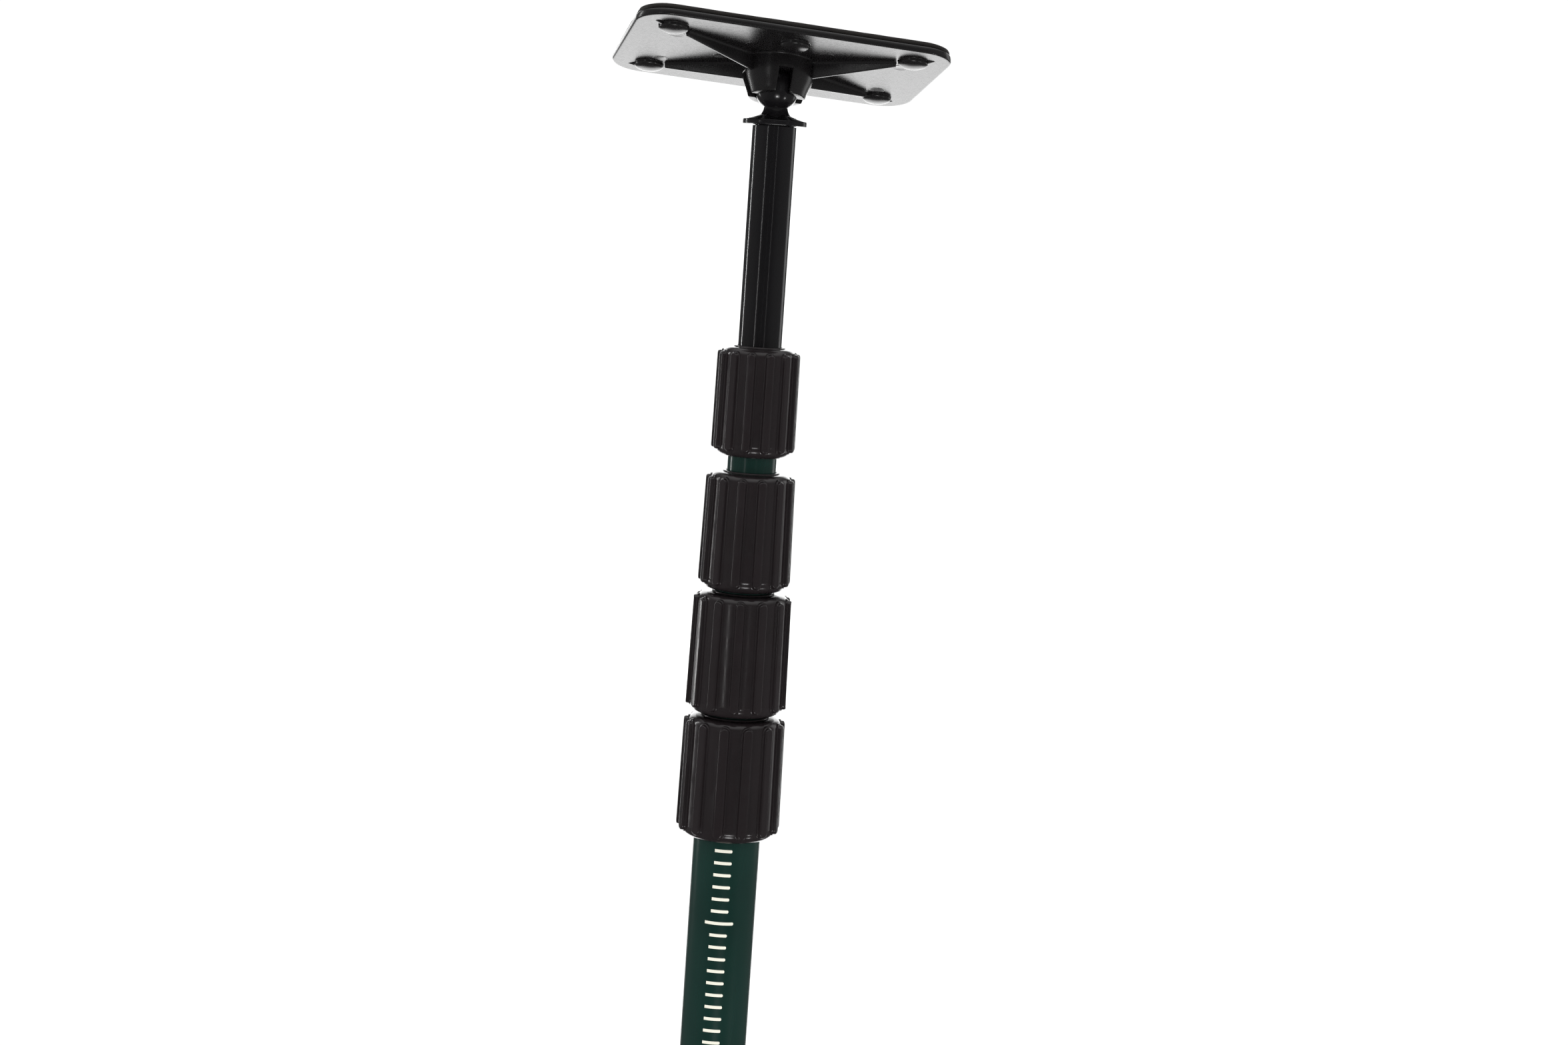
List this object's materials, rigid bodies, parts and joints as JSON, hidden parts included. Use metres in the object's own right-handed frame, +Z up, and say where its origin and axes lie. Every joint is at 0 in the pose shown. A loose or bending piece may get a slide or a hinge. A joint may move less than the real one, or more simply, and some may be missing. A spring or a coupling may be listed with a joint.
{
  "type": "telescopic levelling pole",
  "caption": "Telescopic floor-to-ceiling levelling pole with twist-lock grips, a sprung plunger and a tilting ceiling plate on a ball joint.",
  "frame": {"origin": "centre of the rubber foot underside", "axes": "+Z up along the pole; -Y is the side that carries the printed scale; +X to its right"},
  "size_m": [0.13, 0.0931, 1.16],
  "materials": {
    "tube_paint": "gloss stoved enamel",
    "scale_print": "screen-printed marks, matt",
    "grip_plastic": "moulded, satin",
    "plunger_coat": "smooth gloss coat",
    "head_plastic": "moulded polycarbonate, glossy",
    "stud_plastic": "moulded acetal, glossy",
    "pad_rubber": "foam rubber sheet",
    "foot_rubber": "moulded rubber",
    "inner_plastic": "moulded, plain",
    "spring_steel": "drawn wire"
  },
  "bodies": {
    "pole": {"rubber_foot": "foot_rubber", "end_plug": "inner_plastic", "tube_1": "tube_paint", "lock_collet_1": "inner_plastic"},
    "grip_1": {"lock_grip_1": "grip_plastic"},
    "stage_2": {"tube_2": "tube_paint", "lock_collet_2": "inner_plastic", "guide_bush_2": "inner_plastic"},
    "grip_2": {"lock_grip_2": "grip_plastic"},
    "stage_3": {"tube_3": "tube_paint", "lock_collet_3": "inner_plastic", "guide_bush_3": "inner_plastic"},
    "grip_3": {"lock_grip_3": "grip_plastic"},
    "stage_4": {"tube_4": "tube_paint", "lock_collet_4": "inner_plastic", "guide_bush_4": "inner_plastic", "spring_seat": "inner_plastic", "pressure_spring": "spring_steel"},
    "grip_4": {"lock_grip_4": "grip_plastic"},
    "plunger": {"plunger_tube": "plunger_coat", "plunger_guide": "inner_plastic"},
    "swivel": {"ball_stud": "stud_plastic"},
    "head": {"head_plate": "head_plastic", "ceiling_pad": "pad_rubber"}
  },
  "joints": [
    {"name": "stage_2_slide", "type": "slide", "parent": "pole", "child": "stage_2", "axis": [0, 0, 1], "range_m": [0, 0.7]},
    {"name": "stage_3_slide", "type": "slide", "parent": "stage_2", "child": "stage_3", "axis": [0, 0, 1], "range_m": [0, 0.7]},
    {"name": "stage_4_slide", "type": "slide", "parent": "stage_3", "child": "stage_4", "axis": [0, 0, 1], "range_m": [-0.005, 0.7]},
    {"name": "plunger_slide", "type": "slide", "parent": "stage_4", "child": "plunger", "axis": [0, 0, 1], "range_m": [-0.075, 0], "stiffness_N_per_m": 700, "springref_m": 0.03, "deforming": ["pressure_spring"]},
    {"name": "grip_1_twist", "type": "hinge", "parent": "pole", "child": "grip_1", "pos_m": [0, 0, 0.84], "axis": [0, 0, 1], "range_deg": [0, 180]},
    {"name": "grip_2_twist", "type": "hinge", "parent": "stage_2", "child": "grip_2", "pos_m": [0, 0, 0.8899], "axis": [0, 0, 1], "range_deg": [0, 180]},
    {"name": "grip_3_twist", "type": "hinge", "parent": "stage_3", "child": "grip_3", "pos_m": [0, 0, 0.9392], "axis": [0, 0, 1], "range_deg": [0, 180]},
    {"name": "grip_4_twist", "type": "hinge", "parent": "stage_4", "child": "grip_4", "pos_m": [0, 0, 0.9919], "axis": [0, 0, 1], "range_deg": [0, 180]},
    {"name": "head_swivel", "type": "hinge", "parent": "plunger", "child": "swivel", "pos_m": [0, 0, 1.1339], "axis": [0, 0, 1], "continuous": true},
    {"name": "head_tilt", "type": "hinge", "parent": "swivel", "child": "head", "pos_m": [0, 0, 1.1339], "axis": [0.9989, -0.0473, 0], "range_deg": [-11, 39]}
  ]
}
